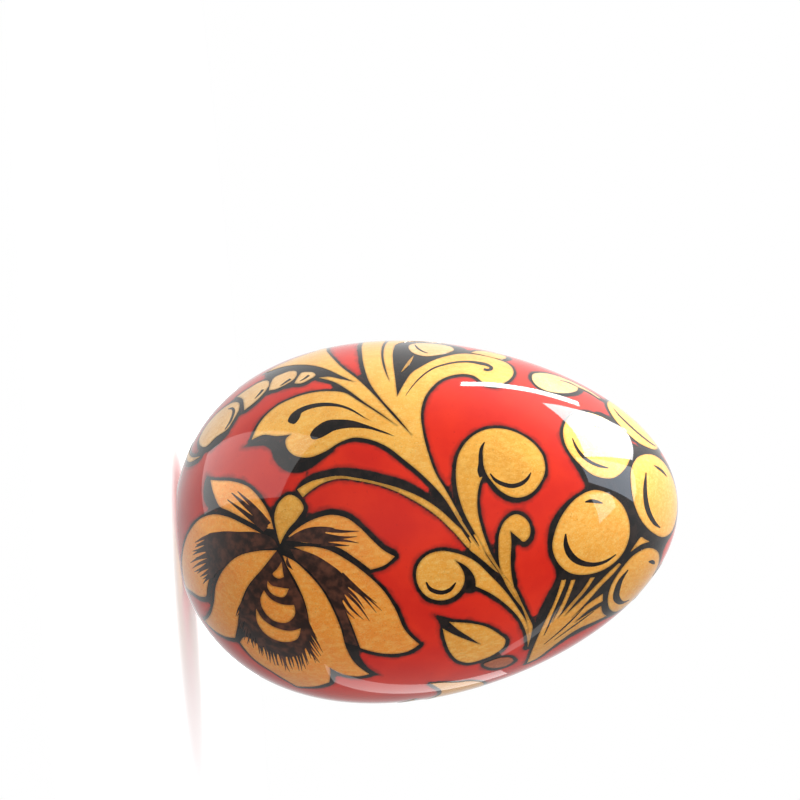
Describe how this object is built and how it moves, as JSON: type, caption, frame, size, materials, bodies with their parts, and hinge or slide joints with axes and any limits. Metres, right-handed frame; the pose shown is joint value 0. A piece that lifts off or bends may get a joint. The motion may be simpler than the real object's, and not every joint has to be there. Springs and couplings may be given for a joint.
{
  "type": "decorated egg",
  "caption": "Turned wooden egg with a small flat foot, a glossy red ground and gold berries, flower and scrolling leaves outlined in black.",
  "frame": {"origin": "centre of the flat foot on the blunt end", "axes": "+Z along the egg from the foot to the pointed end; the painted front faces -Y, and its upper edge is towards -X"},
  "size_m": [0.0456, 0.0452, 0.0619],
  "materials": {
    "bare_wood": "fine turned lime wood, unvarnished",
    "red_lacquer": "red oil paint under thick clear gloss lacquer",
    "black_paint": "brushed black paint under clear gloss lacquer",
    "gold_paint": "powdered metal gold, finely grained, under clear gloss lacquer"
  },
  "bodies": {
    "root": {"wood_core": "bare_wood", "red_ground": "red_lacquer", "front_flower_shadow": "black_paint", "back_flower_shadow": "black_paint", "front_berry_shadow": "black_paint", "back_berry_shadow": "black_paint", "front_petal_upper_left": "gold_paint", "back_petal_upper_left": "gold_paint", "front_petal_left": "gold_paint", "back_petal_left": "gold_paint", "front_petal_lower_left": "gold_paint", "back_petal_lower_left": "gold_paint", "front_petal_bottom": "gold_paint", "back_petal_bottom": "gold_paint", "front_petal_right": "gold_paint", "back_petal_right": "gold_paint", "front_petal_upper_right": "gold_paint", "back_petal_upper_right": "gold_paint", "front_calyx": "gold_paint", "back_calyx": "gold_paint", "front_flower_stem": "gold_paint", "back_flower_stem": "gold_paint", "front_pistil_upper": "gold_paint", "back_pistil_upper": "gold_paint", "front_pistil_lower": "gold_paint", "back_pistil_lower": "gold_paint", "front_branch_curl": "gold_paint", "back_branch_curl": "gold_paint", "front_curl_small": "gold_paint", "back_curl_small": "gold_paint", "front_curl_round": "gold_paint", "back_curl_round": "gold_paint", "front_leaf_notched": "gold_paint", "back_leaf_notched": "gold_paint", "front_leaf_spray": "gold_paint", "back_leaf_spray": "gold_paint", "front_berry_top": "gold_paint", "back_berry_top": "gold_paint", "front_feather_low": "gold_paint", "back_feather_low": "gold_paint", "front_feather_middle": "gold_paint", "back_feather_middle": "gold_paint", "front_feather_high": "gold_paint", "back_feather_high": "gold_paint", "front_berry_1": "gold_paint", "back_berry_1": "gold_paint", "front_berry_2": "gold_paint", "back_berry_2": "gold_paint", "front_berry_3": "gold_paint", "back_berry_3": "gold_paint", "front_berry_4": "gold_paint", "back_berry_4": "gold_paint", "front_berry_5": "gold_paint", "back_berry_5": "gold_paint", "front_berry_comma": "gold_paint", "back_berry_comma": "gold_paint", "front_berry_stalks": "gold_paint", "back_berry_stalks": "gold_paint"}
  },
  "joints": []
}
